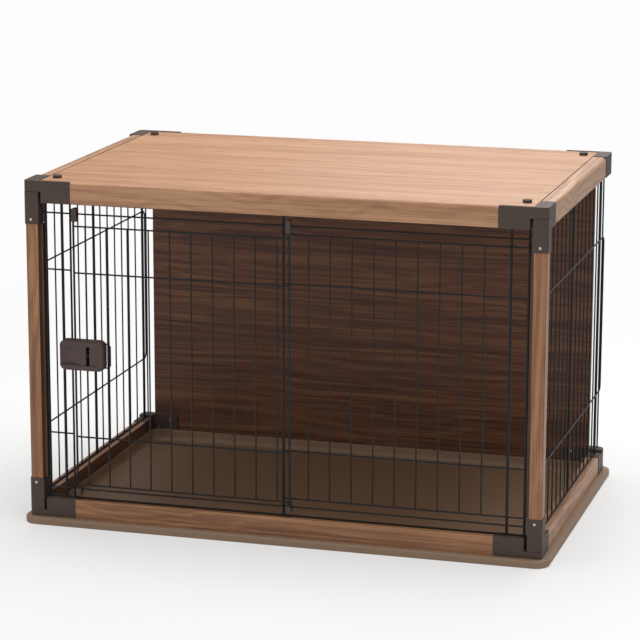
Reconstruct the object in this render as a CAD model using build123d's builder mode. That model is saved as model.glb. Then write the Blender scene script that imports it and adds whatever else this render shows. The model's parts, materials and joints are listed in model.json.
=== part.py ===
"""Wire crate with a wood tabletop, a wood back board and a sliding wire door.

Millimetres, +Z up.  The origin is at the bottom centre of the tray, the doorway
faces -Y, and +X is to the right of someone facing the doorway.
"""
import os

from build123d import *

os.makedirs("parts", exist_ok=True)

# ---------------------------------------------------------------- driving sizes
CUT = 1.0                 # a cutter runs on past the face it opens
BITE = 1.0                # hidden overlap where two shapes of one moulding join

BODY_W = 950.0            # over the corner brackets, left to right
BODY_D = 612.0            # over the corner brackets, front to back
BODY_H = 634.0            # floor to the top of the corner brackets
PROUD = 1.0               # brackets stand this much proud of the wood

# tray
LIP_OUT = 12.0            # tray edge beyond the brackets
LIP_H = 14.0
LIP_R = 25.0
LIP_WALL = 4.0
LIP_SKIN = 3.5
LIP_TOP_R = 4.5
LIP_FOOT_R = 2.5
PAN_RIM_Z = 26.0
PAN_WALL = 3.5
PAN_FLOOR = 4.0
PAN_R = 20.0
PAN_COVE = 10.0
PAN_RIM_R = 1.2
PAN_FIT = 0.5             # between the pan and the rails around it
RIB_T = 2.5
RIB_PITCH = 130.0
RIB_INSET = 50.0          # end ribs from the bracket faces

# rails, brackets and posts
RAIL_T = 25.0
BOTTOM_RAIL_H = 34.5
TOP_RAIL_H = 38.0
FRONT_RAIL_EDGE_R = 1.5
SIDE_RAIL_EDGE_R = 2.5
TOP_RAIL_EDGE_R = 8.0
LEG_X = 87.0              # bracket leg along the width
LEG_Y = 62.0              # bracket leg along the depth
REAR_LEG_X = 78.0         # bottom rear bracket leg along the back board
REAR_CAP_RISE = 5.0       # bottom rear bracket above its side leg
TENON_L = 24.0
TENON_T = 12.0
TENON_EDGE = 7.0          # wood above and below a tenon
TENON_FIT = 0.2
CORNER_R = 6.0
REAR_CORNER_R = 16.0
POST_W = 24.0
POST_R = 3.5
POST_FIN_W = 6.0
POST_FIN_T = 14.0
POST_FIN_BACK = 2.0       # fin set in from the back of the post
SLEEVE_WALL = 1.5
SLEEVE_L = 59.0
SLEEVE_R = 5.0
SLEEVE_EDGE_R = 1.0
SLEEVE_FIT = 0.05
SEAM = 0.5                # shadow line between sleeve and bracket
SLOT = 5.0                # open slot between sleeve and bracket leg
STEP_BOTTOM = 12.0        # bracket foot under the sleeve
STEP_TOP = 20.0           # bracket head over the sleeve
PEG = 12.0
PEG_L = 20.0
SCREW_HEAD_R = 2.6
SCREW_HEAD_H = 1.2
SCREW_R = 1.5
SCREW_L = 14.0
SCREW_INSET = 8.5         # from the open end of a sleeve

# tabletop and back board
TABLE_T = 18.0
TABLE_GAP = 1.5           # shadow gap beside the side rails
TABLE_FIT = 0.5
TABLE_EDGE_R = 5.0
FLANGE_T = 8.0            # bracket flange in front of the tabletop edge
GUSSET_T = 11.0
GUSSET_X = 44.0
GUSSET_FIT = 0.2
KNOB_X_IN = 47.0          # knob centre from the bracket faces
KNOB_Y_IN = 46.0
KNOB_R = 8.0
KNOB_H = 5.0
KNOB_GAP = 0.3
KNOB_STEM_R = 3.0
KNOB_STEM_FIT = 0.08
KNOB_EDGE_R = 1.6
KNOB_SLOT_L = 11.2
KNOB_SLOT_W = 2.0
KNOB_SLOT_T = 0.8
KNOB_SEAT_T = 0.4         # shallow round seat in the tabletop under each knob
KNOB_SEAT_FIT = 0.4
BOARD_T = 9.0
BOARD_LIP = 3.8           # bracket walls in front of and behind the board
BOARD_FIT = 0.2
BOARD_SIDE = 29.0         # board edge from the bracket face
BOARD_TONGUE = 7.0        # board edge inside the top rear rail
BOARD_SCREWS = ((63.0, 46.0), (38.0, 31.0))   # from the bracket face, height
BOARD_SCREW_DEEP = 7.0    # screw length inside the board

# wire panels
R_THICK = 2.6
R_FRAME = 1.9
R_CROSS = 1.5
R_THIN = 1.4
WELD = 0.3                # crossing wires sink into each other by this much
SEAT_HIGH = 0.3           # frame wires sink this far into the upper wood
SEAT_LOW = 0.2            # and this far into the bottom rails
SEAT_ROOM = 0.1           # groove wider than its wire, each side
FRAME_IN_Y = 14.5         # front frame wires behind the bracket face
FRAME_IN_X = 13.5         # side frame wires inside the bracket face
END_BAR_IN = 34.6         # front end bars from the bracket face
STUB_BAR_IN = 66.0
CLOSING_BAR_IN = 82.0
MIDDLE_X = 3.5            # middle bar, beside which the door ends
RAIL_DROP = 17.5          # door rail below the top frame wire
INFILL_DROP = 15.0        # grille edge below the door rail
CROSS_DROP = 88.0         # cross wire below the grille edge
INFILL_EDGE = 46.0        # first thin bar from a thick one
INFILL_PITCH = 39.5
SIDE_END_IN = 35.0        # side end bars from the bracket face
SIDE_PITCH = 39.0
SIDE_FRAME_PAST = 3.5     # frame wires run on past the end bars
REAR_WIRE_IN = 10.0
REAR_WIRE_PLUG = 8.0
REAR_WIRE_FIT = 0.2
REAR_WIRE_SHORT = 1.0     # wire stops short of the bottom of its hole
SIDE_BEND_R = 12.0        # bends of the cross wire beside the rear wire
JOG = 5.5
JOG_HALF = 16.0
JOG_RAMP = 10.0
JOG_R = 6.0

# sliding door
DOOR_GAP = 9.0            # closing bar to door frame
DOOR_PAST = 13.5          # door frame beyond the middle bar
DOOR_EDGE = 22.5          # first thin bar from the door frame
DOOR_CLEAR = 1.8          # between the door wires and the fixed wires
DOOR_TOP_DROP = 6.0
DOOR_BOTTOM_DROP = 4.5
DOOR_CROSS_DROP = 2.5
DOOR_STOP = 0.5           # left between hook and middle bar at full travel
HOOK_W = 9.5
HOOK_OFFSET = 2.0         # hook centre from the door frame bar, inwards
HOOK_END = 11.0           # hook beyond the rail
HOOK_LEG_T = 2.4
HOOK_FRONT_T = 1.8        # plastic in front of the door frame bar
HOOK_WIRE_GAP = 6.5       # between hook and the outer cross wire
HOOK_R = 2.5
HOOK_RUN = 0.3            # running clearance round the rail
HOOK_BACK_L = 10.0
HOOK_PLUG = 4.0           # door bar stops this far short of the rail

# latch
LATCH_W = 84.0
LATCH_H = 55.0
LATCH_T = 20.0
LATCH_IN = 66.0           # latch edge from the bracket face
LATCH_WALL = 2.5
LATCH_R = 11.0
LATCH_EDGE_R = 5.0
LATCH_SOLID = 16.0        # solid end that holds the pull loop
SLIDE_W = 51.0
SLIDE_H = 34.0
SLIDE_FIT = 0.4
SLIDE_FACE = 2.0          # thumb piece below the latch face
SLIDE_TRAVEL = 6.0
SLIDE_STOP = 0.5
SLIDE_RAIL = 3.0
SLIDE_BAR_GAP = 1.6       # between thumb piece and the door frame bar
SLIDE_INSET = 0.3         # left end inside the latch edge
SLIDE_EDGE_R = 3.0
CHANNEL_PAST = 3.0        # channel runs on past the cavity
HOLLOW_R = 60.0
HOLLOW_DEEP = 3.0
HOLLOW_RIM = 1.5
HOLLOW_SHIFT = 8.0        # hollow centre left of the middle of the thumb piece
PAD_W = 6.5
PAD_H = 28.0
PAD_IN = 1.5              # pad from the right end of the thumb piece
PAD_DROP = 0.2
PAD_ROOT = 3.8
GUIDE_T = 4.1
GUIDE_INSET = 0.6
GUIDE_SHORT = 4.0
NOSE_W = 5.5
NOSE_H = 16.0
NOSE_CLEAR = 0.3
NOSE_BAR_GAP = 1.0        # nose beside the stub bar when latched
SPRING_R = 2.2
SPRING_WIRE_R = 0.3
SPRING_TURNS = 8
POCKET_R = 3.0
POCKET_SLIDE = 10.0
POCKET_BLOCK = 6.0
PLATE_T = 2.5
PLATE_H = 48.0
PLATE_R = 6.0
PLATE_NOSE_GAP = 2.5
PLATE_INSET = 4.0
LATCH_SCREW_DZ = 12.0     # latch screws above and below the middle
LATCH_SCREW_L = 9.0
LATCH_SCREW_HOLE = 10.0
LATCH_SCREW_HEAD_H = 1.0
NOTCH_FIT = 0.1
LOOP_HALF = 22.0
LOOP_OUT = 10.0
LOOP_R = 7.0
LOOP_PLUG = 20.0
LOOP_FIT = 0.05

# ---------------------------------------------------------------- derived planes
HX = BODY_W / 2
HY = BODY_D / 2
LEG_T = RAIL_T + PROUD
INNER_X = HX - LEG_T
INNER_Y = HY - LEG_T
WOOD_X = HX - PROUD
WOOD_Y = HY - PROUD
LEG_TOP_Z = LIP_H + BOTTOM_RAIL_H + PROUD
BOTTOM_RAIL_Z = LIP_H + BOTTOM_RAIL_H
WOOD_TOP_Z = BODY_H - PROUD
TOP_RAIL_Z = WOOD_TOP_Z - TOP_RAIL_H
TOP_LEG_Z = TOP_RAIL_Z - PROUD
TABLE_Z = WOOD_TOP_Z - TABLE_T
LEG_END_X = HX - LEG_X
LEG_END_Y = HY - LEG_Y
REAR_LEG_END = HX - REAR_LEG_X
STEP_LOW_Z = LIP_H + STEP_BOTTOM
STEP_HIGH_Z = BODY_H - STEP_TOP
SLEEVE_W = POST_W + 2 * SLEEVE_WALL
SLEEVE_IN = HX - SLEEVE_W
NOTCH_X = SLEEVE_IN - SLOT
NOTCH_Y = HY - SLEEVE_W - SEAM
POST_OUT = HX - SLEEVE_WALL
POST_IN = POST_OUT - POST_W
POST_FRONT = -HY + SLEEVE_WALL
POST_BACK = POST_FRONT + POST_W
POST_X = (POST_OUT + POST_IN) / 2
POST_Y = (POST_FRONT + POST_BACK) / 2
SCREW_LOW_Z = STEP_LOW_Z + SLEEVE_L - SCREW_INSET
SCREW_HIGH_Z = STEP_HIGH_Z - SLEEVE_L + SCREW_INSET
BOARD_BACK = HY - BOARD_LIP - BOARD_FIT
BOARD_FRONT = BOARD_BACK - BOARD_T
BOARD_PLATE = BOARD_FRONT - BOARD_FIT - BOARD_LIP
BOARD_X = HX - BOARD_SIDE
BOARD_TOP = TOP_RAIL_Z + BOARD_TONGUE
REAR_CAP_Z = LEG_TOP_Z + REAR_CAP_RISE
KNOB_X = HX - KNOB_X_IN
KNOB_Y = HY - KNOB_Y_IN

FRAME_LOW_Z = BOTTOM_RAIL_Z - SEAT_LOW + R_FRAME
FRAME_HIGH_Z = TOP_RAIL_Z + SEAT_HIGH - R_FRAME
FRONT_FRAME_Y = -HY + FRAME_IN_Y
CROSS_Y = FRONT_FRAME_Y - R_FRAME - R_CROSS + WELD
RAIL_Y = CROSS_Y - WELD
SIDE_FRAME_X = HX - FRAME_IN_X
SIDE_CROSS_X = SIDE_FRAME_X + R_FRAME + R_CROSS - WELD
RAIL_HIGH_Z = FRAME_HIGH_Z - RAIL_DROP
RAIL_LOW_Z = FRAME_LOW_Z + RAIL_DROP
INFILL_HIGH_Z = RAIL_HIGH_Z - INFILL_DROP
INFILL_LOW_Z = RAIL_LOW_Z + INFILL_DROP
CROSS_HIGH_Z = INFILL_HIGH_Z - CROSS_DROP
CROSS_LOW_Z = INFILL_LOW_Z + CROSS_DROP
LATCH_Z = (CROSS_HIGH_Z + CROSS_LOW_Z) / 2
END_BAR_X = HX - END_BAR_IN
STUB_BAR_X = HX - STUB_BAR_IN
CLOSING_BAR_X = HX - CLOSING_BAR_IN
SIDE_BAR_END = HY - SIDE_END_IN
REAR_WIRE_X = SIDE_CROSS_X - 2 * R_CROSS + WELD
REAR_WIRE_Y = HY - REAR_WIRE_IN

DOOR_CROSS_Y = CROSS_Y - R_CROSS - DOOR_CLEAR - 2 * R_FRAME - R_CROSS + WELD
DOOR_LEFT = -CLOSING_BAR_X + DOOR_GAP
DOOR_RIGHT = MIDDLE_X + DOOR_PAST
DOOR_HIGH_Z = INFILL_HIGH_Z - DOOR_TOP_DROP
DOOR_LOW_Z = INFILL_LOW_Z - DOOR_BOTTOM_DROP
HOOK_LEFT_X = DOOR_LEFT + HOOK_OFFSET
HOOK_RIGHT_X = DOOR_RIGHT - HOOK_OFFSET

LATCH_X0 = -HX + LATCH_IN
LATCH_X1 = LATCH_X0 + LATCH_W
DOOR_FRAME_BACK = DOOR_CROSS_Y + R_CROSS - WELD + 2 * R_FRAME
DOOR_FRAME_FRONT = DOOR_CROSS_Y + R_CROSS - WELD
LATCH_BACK = DOOR_FRAME_BACK
LATCH_FACE = LATCH_BACK - LATCH_T
SLIDE_X1 = LATCH_X0 + SLIDE_W
BLOCK_X0 = SLIDE_X1 + SLIDE_TRAVEL + SLIDE_STOP
SLIDE_BACK = DOOR_FRAME_FRONT - SLIDE_BAR_GAP


# ---------------------------------------------------------------- shared helpers
def block(x, y, z, mode=Mode.ADD):
    """A box between pairs of coordinates, in the open part."""
    spans = [sorted(pair) for pair in (x, y, z)]
    middle = [(low + high) / 2 for low, high in spans]
    size = [high - low for low, high in spans]
    with Locations(tuple(middle)):
        Box(*size, mode=mode)


def upright_wires(points, radius, z0, z1):
    """Vertical wires at the (x, y) points, in the open part."""
    with BuildSketch(Plane.XY.offset(z0)) as ends:
        with Locations(*points):
            Circle(radius)
    extrude(ends.sketch, amount=z1 - z0)


def width_wires(points, radius, x0, x1):
    """Wires along X at the (y, z) points, in the open part."""
    with BuildSketch(Plane.YZ.offset(x0)) as ends:
        with Locations(*points):
            Circle(radius)
    extrude(ends.sketch, amount=x1 - x0)


def depth_wires(points, radius, y0, y1):
    """Wires along Y at the (x, z) points, in the open part."""
    with BuildSketch(Plane.XZ.offset(-y1)) as ends:
        with Locations(*points):
            Circle(radius)
    extrude(ends.sketch, amount=y1 - y0)


def bore_y(x, z, radius, y0, y1, mode=Mode.SUBTRACT):
    """A round hole or pin along Y in the open part."""
    with BuildSketch(Plane.XZ.offset(-max(y0, y1))) as mouth:
        with Locations((x, z)):
            Circle(radius)
    extrude(mouth.sketch, amount=abs(y1 - y0), mode=mode)


def bore_z(x, y, radius, z0, z1, mode=Mode.SUBTRACT):
    """A round hole or pin along Z in the open part."""
    with Locations((x, y, (z0 + z1) / 2)):
        Cylinder(radius, abs(z1 - z0), mode=mode)


def spread(first, last, pitch, group=1):
    """Evenly spaced places, near the wanted pitch, with gaps in whole groups."""
    count = group * max(1, round((last - first) / pitch / group))
    return [first + (last - first) * i / count for i in range(count + 1)]


def corner_edge(part, sx, sy):
    """The upright edge furthest out towards the corner (sx, sy)."""
    edges = part.edges().filter_by(Axis.Z)
    return edges.sort_by(lambda e: sx * e.center().X + sy * e.center().Y)[-1]


def corner_edges(part, sx, sy):
    """All upright edges on that outermost corner line."""
    edges = part.edges().filter_by(Axis.Z)
    return edges.group_by(lambda e: round(sx * e.center().X + sy * e.center().Y, 2))[-1]


def save(part, name):
    part.label = name
    export_step(part, f"parts/{name}.step")


def tenon(sx, sy, along, z0, z1, mode=Mode.ADD, fit=0.0):
    """Tenon (or, grown by fit, its socket) from a bracket leg into a rail."""
    half = TENON_T / 2 + fit
    root = BITE if mode == Mode.ADD else 0.0
    span_z = (z0 + TENON_EDGE - fit, z1 - TENON_EDGE + fit)
    reach = TENON_L + fit
    if along == "x":
        middle = sy * (HY - LEG_T / 2)
        block((sx * (LEG_END_X + root), sx * (LEG_END_X - reach)),
              (middle - half, middle + half), span_z, mode)
    else:
        middle = sx * (HX - LEG_T / 2)
        block((middle - half, middle + half),
              (sy * (LEG_END_Y + root), sy * (LEG_END_Y - reach)), span_z, mode)


def front_seat(z0, z1):
    """Shallow groove for the front frame wire."""
    block((-HX, HX), (FRONT_FRAME_Y - R_FRAME - SEAT_ROOM, FRONT_FRAME_Y + R_FRAME + SEAT_ROOM),
          (z0, z1), Mode.SUBTRACT)


def side_seat(sx, z0, z1):
    """Shallow groove for a side frame wire."""
    half = R_FRAME + SEAT_ROOM
    end = SIDE_BAR_END + SIDE_FRAME_PAST + CUT
    block((sx * (SIDE_FRAME_X - half), sx * (SIDE_FRAME_X + half)), (-end, end),
          (z0, z1), Mode.SUBTRACT)


SIDES = ((-1, "left"), (1, "right"))
ENDS = ((-1, "front"), (1, "rear"))

# ---------------------------------------------------------------- tray
PAN_FRONT = -INNER_Y + PAN_FIT
PAN_BACK = BOARD_PLATE - PAN_FIT
PAN_HX = INNER_X - PAN_FIT
PAN_W = 2 * PAN_HX
PAN_D = PAN_BACK - PAN_FRONT
PAN_Y = (PAN_BACK + PAN_FRONT) / 2

with BuildPart() as base_tray:
    with BuildSketch(Plane.XY):
        RectangleRounded(BODY_W + 2 * LIP_OUT, BODY_D + 2 * LIP_OUT, LIP_R)
    extrude(amount=LIP_H)
    fillet(base_tray.faces().sort_by(Axis.Z)[-1].edges(), LIP_TOP_R)
    fillet(base_tray.faces().sort_by(Axis.Z)[0].edges(), LIP_FOOT_R)
    # hollow underside of the lip, with ribs left across it
    with BuildSketch(Plane.XY):
        RectangleRounded(BODY_W + 2 * (LIP_OUT - LIP_WALL), BODY_D + 2 * (LIP_OUT - LIP_WALL),
                         LIP_R - LIP_WALL)
        with Locations((0, PAN_Y)):
            RectangleRounded(PAN_W, PAN_D, PAN_R, mode=Mode.SUBTRACT)
        for rib_x in spread(-HX + RIB_INSET, HX - RIB_INSET, RIB_PITCH):
            with Locations((rib_x, 0)):
                Rectangle(RIB_T, BODY_D + 2 * LIP_OUT, mode=Mode.SUBTRACT)
        for rib_y in spread(-HY + RIB_INSET, HY - RIB_INSET, RIB_PITCH):
            with Locations((0, rib_y)):
                Rectangle(BODY_W + 2 * LIP_OUT, RIB_T, mode=Mode.SUBTRACT)
    extrude(amount=LIP_H - LIP_SKIN, mode=Mode.SUBTRACT)
    # pan wall that locates the frame, then the pan itself
    with BuildSketch(Plane.XY.offset(LIP_H - LIP_SKIN)):
        with Locations((0, PAN_Y)):
            RectangleRounded(PAN_W, PAN_D, PAN_R)
    extrude(amount=PAN_RIM_Z - LIP_H + LIP_SKIN)
    with BuildSketch(Plane.XY.offset(PAN_FLOOR)):
        with Locations((0, PAN_Y)):
            RectangleRounded(PAN_W - 2 * PAN_WALL, PAN_D - 2 * PAN_WALL, PAN_R - PAN_WALL)
    extrude(amount=PAN_RIM_Z, mode=Mode.SUBTRACT)
    pan_floor = base_tray.faces().filter_by(Axis.Z).sort_by(
        lambda f: abs(f.center().Z - PAN_FLOOR))[0]
    fillet(pan_floor.edges(), PAN_COVE)
    pan_rim = base_tray.faces().filter_by(Axis.Z).sort_by(Axis.Z)[-1]
    fillet(pan_rim.edges(), PAN_RIM_R)
save(base_tray.part, "base_tray")

# ---------------------------------------------------------------- bottom rails
with BuildPart() as bottom_front_rail:
    block((-LEG_END_X, LEG_END_X), (-WOOD_Y, -INNER_Y), (LIP_H, BOTTOM_RAIL_Z))
    fillet(bottom_front_rail.edges().filter_by(Axis.X).group_by(Axis.Z)[-1],
           FRONT_RAIL_EDGE_R)
    front_seat(BOTTOM_RAIL_Z - SEAT_LOW, BOTTOM_RAIL_Z + CUT)
    for sx, _ in SIDES:
        tenon(sx, -1, "x", LIP_H, BOTTOM_RAIL_Z, Mode.SUBTRACT, TENON_FIT)
save(bottom_front_rail.part, "bottom_front_rail")

for sx, side in SIDES:
    with BuildPart() as bottom_side_rail:
        block((sx * INNER_X, sx * WOOD_X), (-LEG_END_Y, LEG_END_Y), (LIP_H, BOTTOM_RAIL_Z))
        fillet(bottom_side_rail.edges().filter_by(Axis.Y).group_by(Axis.Z)[-1],
               SIDE_RAIL_EDGE_R)
        side_seat(sx, BOTTOM_RAIL_Z - SEAT_LOW, BOTTOM_RAIL_Z + CUT)
        for sy, _ in ENDS:
            tenon(sx, sy, "y", LIP_H, BOTTOM_RAIL_Z, Mode.SUBTRACT, TENON_FIT)
    save(bottom_side_rail.part, f"bottom_{side}_rail")

# ---------------------------------------------------------------- bottom brackets
for sx, side in SIDES:
    with BuildPart() as front_foot:
        block((sx * HX, sx * LEG_END_X), (-HY, -INNER_Y), (LIP_H, LEG_TOP_Z))
        block((sx * HX, sx * INNER_X), (-HY, -LEG_END_Y), (LIP_H, LEG_TOP_Z))
        fillet(corner_edges(front_foot, sx, -1), CORNER_R)
        front_seat(BOTTOM_RAIL_Z - SEAT_LOW, LEG_TOP_Z + CUT)
        side_seat(sx, BOTTOM_RAIL_Z - SEAT_LOW, LEG_TOP_Z + CUT)
        block((sx * (HX + CUT), sx * NOTCH_X), (-HY - CUT, -NOTCH_Y), (STEP_LOW_Z, LEG_TOP_Z + CUT),
              Mode.SUBTRACT)
        tenon(sx, -1, "x", LIP_H, BOTTOM_RAIL_Z)
        tenon(sx, -1, "y", LIP_H, BOTTOM_RAIL_Z)
        block((sx * POST_X - PEG / 2, sx * POST_X + PEG / 2), (POST_Y - PEG / 2, POST_Y + PEG / 2),
              (STEP_LOW_Z - BITE, STEP_LOW_Z + PEG_L))
    save(front_foot.part, f"bottom_bracket_front_{side}")

    with BuildPart() as rear_foot:
        block((sx * HX, sx * REAR_LEG_END), (BOARD_PLATE, HY), (LIP_H, REAR_CAP_Z))
        block((sx * HX, sx * INNER_X), (LEG_END_Y, HY), (LIP_H, LEG_TOP_Z))
        block((sx * HX, sx * INNER_X), (INNER_Y, HY), (LIP_H, REAR_CAP_Z))
        fillet(corner_edges(rear_foot, sx, 1), REAR_CORNER_R)
        side_seat(sx, BOTTOM_RAIL_Z - SEAT_LOW, LEG_TOP_Z + CUT)
        block((sx * (BOARD_X + BOARD_FIT), sx * (REAR_LEG_END - CUT)),
              (BOARD_FRONT - BOARD_FIT, BOARD_BACK + BOARD_FIT), (LIP_H - CUT, REAR_CAP_Z + CUT),
              Mode.SUBTRACT)
        tenon(sx, 1, "y", LIP_H, BOTTOM_RAIL_Z)
        bore_z(sx * REAR_WIRE_X, REAR_WIRE_Y, R_CROSS + REAR_WIRE_FIT,
               REAR_CAP_Z - REAR_WIRE_PLUG, REAR_CAP_Z + CUT)
        for screw_in, screw_z in BOARD_SCREWS:
            bore_y(sx * (HX - screw_in), screw_z, SCREW_R, BOARD_PLATE - CUT, BOARD_FRONT)
    save(rear_foot.part, f"bottom_bracket_rear_{side}")

# ---------------------------------------------------------------- front posts
for sx, side in SIDES:
    with BuildPart() as front_post:
        block((sx * POST_OUT, sx * POST_IN), (POST_FRONT, POST_BACK),
              (STEP_LOW_Z, STEP_HIGH_Z - SEAM))
        fillet(corner_edge(front_post, sx, -1), POST_R)
        fillet(corner_edge(front_post, -sx, -1), POST_R / 2)
        block((sx * (POST_IN + BITE), sx * (POST_IN - POST_FIN_W)),
              (POST_BACK - POST_FIN_T - POST_FIN_BACK, POST_BACK - POST_FIN_BACK),
              (STEP_LOW_Z + SLEEVE_L + SEAM, STEP_HIGH_Z - SLEEVE_L - SEAM))
        socket = PEG / 2 + TENON_FIT
        for low, high in ((STEP_LOW_Z, STEP_LOW_Z + PEG_L), (STEP_HIGH_Z - PEG_L, STEP_HIGH_Z)):
            block((sx * POST_X - socket, sx * POST_X + socket), (POST_Y - socket, POST_Y + socket),
                  (low - TENON_FIT, high + TENON_FIT), Mode.SUBTRACT)
        for screw_z in (SCREW_LOW_Z, SCREW_HIGH_Z):
            bore_y(sx * POST_X, screw_z, SCREW_R, POST_FRONT - CUT, -HY + SCREW_L)
    save(front_post.part, f"front_post_{side}")

    for level, sleeve_z in (("bottom", STEP_LOW_Z), ("top", STEP_HIGH_Z - SLEEVE_L)):
        seam_low = SEAM if level == "bottom" else 0.0
        seam_high = SEAM if level == "top" else 0.0
        screw_z = SCREW_LOW_Z if level == "bottom" else SCREW_HIGH_Z
        with BuildPart() as post_sleeve:
            block((sx * HX, sx * SLEEVE_IN), (-HY, -HY + SLEEVE_W),
                  (sleeve_z + seam_low, sleeve_z + SLEEVE_L - seam_high))
            fillet(corner_edge(post_sleeve, sx, -1), SLEEVE_R)
            fillet(corner_edge(post_sleeve, -sx, -1), SLEEVE_EDGE_R)
            block((sx * (POST_OUT + SLEEVE_FIT), sx * (POST_IN - SLEEVE_FIT)),
                  (POST_FRONT - SLEEVE_FIT, POST_BACK + SLEEVE_FIT),
                  (sleeve_z - CUT, sleeve_z + SLEEVE_L + CUT), Mode.SUBTRACT)
            bore_y(sx * POST_X, screw_z, SCREW_R, -HY - CUT, POST_FRONT + CUT)
        save(post_sleeve.part, f"post_sleeve_{level}_{side}")

with BuildPart() as sleeve_screws:
    for sx, _ in SIDES:
        for screw_z in (SCREW_LOW_Z, SCREW_HIGH_Z):
            bore_y(sx * POST_X, screw_z, SCREW_HEAD_R, -HY - SCREW_HEAD_H, -HY, Mode.ADD)
            bore_y(sx * POST_X, screw_z, SCREW_R, -HY, -HY + SCREW_L, Mode.ADD)
save(sleeve_screws.part, "sleeve_screws")

# ---------------------------------------------------------------- top brackets
for sx, side in SIDES:
    for sy, end in ENDS:
        with BuildPart() as top_bracket:
            block((sx * HX, sx * INNER_X), (sy * HY, sy * LEG_END_Y), (TOP_LEG_Z, BODY_H))
            block((sx * HX, sx * LEG_END_X), (sy * HY, sy * (HY - FLANGE_T)), (TOP_LEG_Z, BODY_H))
            block((sx * HX, sx * LEG_END_X), (sy * HY, sy * INNER_Y),
                  (TOP_LEG_Z, TABLE_Z - GUSSET_FIT))
            block((sx * (INNER_X + BITE), sx * (INNER_X - GUSSET_X)),
                  (sy * (INNER_Y + BITE), sy * (LEG_END_Y + GUSSET_FIT)),
                  (TABLE_Z - GUSSET_FIT - GUSSET_T, TABLE_Z - GUSSET_FIT))
            fillet(corner_edges(top_bracket, sx, sy), CORNER_R if sy < 0 else REAR_CORNER_R / 2)
            side_seat(sx, TOP_LEG_Z - CUT, TOP_RAIL_Z + SEAT_HIGH)
            bore_z(sx * KNOB_X, sy * KNOB_Y, KNOB_STEM_R + KNOB_STEM_FIT, TOP_LEG_Z, BODY_H)
            tenon(sx, sy, "y", TOP_RAIL_Z, WOOD_TOP_Z)
            if sy < 0:
                front_seat(TOP_LEG_Z - CUT, TOP_RAIL_Z + SEAT_HIGH)
                block((sx * (HX + CUT), sx * NOTCH_X), (-HY - CUT, -NOTCH_Y),
                      (TOP_LEG_Z - CUT, STEP_HIGH_Z), Mode.SUBTRACT)
                block((sx * POST_X - PEG / 2, sx * POST_X + PEG / 2),
                      (POST_Y - PEG / 2, POST_Y + PEG / 2), (STEP_HIGH_Z - PEG_L, STEP_HIGH_Z + BITE))
            else:
                block((sx * (BOARD_X + BOARD_FIT), sx * (LEG_END_X - CUT)),
                      (BOARD_FRONT - BOARD_FIT, BOARD_BACK + BOARD_FIT),
                      (TOP_LEG_Z - CUT, BOARD_TOP + BOARD_FIT), Mode.SUBTRACT)
                bore_z(sx * REAR_WIRE_X, REAR_WIRE_Y, R_CROSS + REAR_WIRE_FIT,
                       TOP_LEG_Z - CUT, TOP_LEG_Z + REAR_WIRE_PLUG)
        save(top_bracket.part, f"top_bracket_{end}_{side}")

# ---------------------------------------------------------------- top rails
for sx, side in SIDES:
    with BuildPart() as top_side_rail:
        block((sx * INNER_X, sx * WOOD_X), (-LEG_END_Y, LEG_END_Y), (TOP_RAIL_Z, WOOD_TOP_Z))
        upper = top_side_rail.edges().filter_by(Axis.Y).group_by(Axis.Z)[-1]
        fillet(upper.sort_by(lambda e: sx * e.center().X)[-1], TOP_RAIL_EDGE_R)
        side_seat(sx, TOP_RAIL_Z - CUT, TOP_RAIL_Z + SEAT_HIGH)
        for sy, _ in ENDS:
            tenon(sx, sy, "y", TOP_RAIL_Z, WOOD_TOP_Z, Mode.SUBTRACT, TENON_FIT)
    save(top_side_rail.part, f"top_{side}_rail")

with BuildPart() as top_rear_rail:
    block((-LEG_END_X, LEG_END_X), (INNER_Y, WOOD_Y), (TOP_RAIL_Z, TABLE_Z))
    block((-LEG_END_X - CUT, LEG_END_X + CUT), (BOARD_FRONT - BOARD_FIT, BOARD_BACK + BOARD_FIT),
          (TOP_RAIL_Z - CUT, BOARD_TOP + BOARD_FIT), Mode.SUBTRACT)
save(top_rear_rail.part, "top_rear_rail")

# ---------------------------------------------------------------- tabletop
TABLE_HX = INNER_X - TABLE_GAP
with BuildPart() as tabletop:
    block((-TABLE_HX, TABLE_HX), (-WOOD_Y, WOOD_Y), (TABLE_Z, WOOD_TOP_Z))
    block((-LEG_END_X + TABLE_FIT, LEG_END_X - TABLE_FIT), (-WOOD_Y, -WOOD_Y + TABLE_T),
          (TOP_RAIL_Z, TABLE_Z + BITE))
    for sx, _ in SIDES:
        for sy, _ in ENDS:
            block((sx * (LEG_END_X - TABLE_FIT), sx * HX),
                  (sy * (HY - FLANGE_T - TABLE_FIT), sy * (HY + CUT)),
                  (TABLE_Z - CUT, WOOD_TOP_Z + CUT), Mode.SUBTRACT)
    long_edges = tabletop.edges().filter_by(Axis.X).group_by(Axis.Z)[-1]
    outer_edges = long_edges.group_by(lambda e: round(abs(e.center().Y), 2))[-1]
    fillet(outer_edges, TABLE_EDGE_R)
    front_seat(TOP_RAIL_Z - CUT, TOP_RAIL_Z + SEAT_HIGH)
    for sx, _ in SIDES:
        for sy, _ in ENDS:
            bore_z(sx * KNOB_X, sy * KNOB_Y, KNOB_STEM_R + KNOB_STEM_FIT,
                   TABLE_Z - CUT, WOOD_TOP_Z + CUT)
            bore_z(sx * KNOB_X, sy * KNOB_Y, KNOB_R + KNOB_SEAT_FIT,
                   WOOD_TOP_Z - KNOB_SEAT_T, WOOD_TOP_Z + CUT)
save(tabletop.part, "tabletop")

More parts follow.
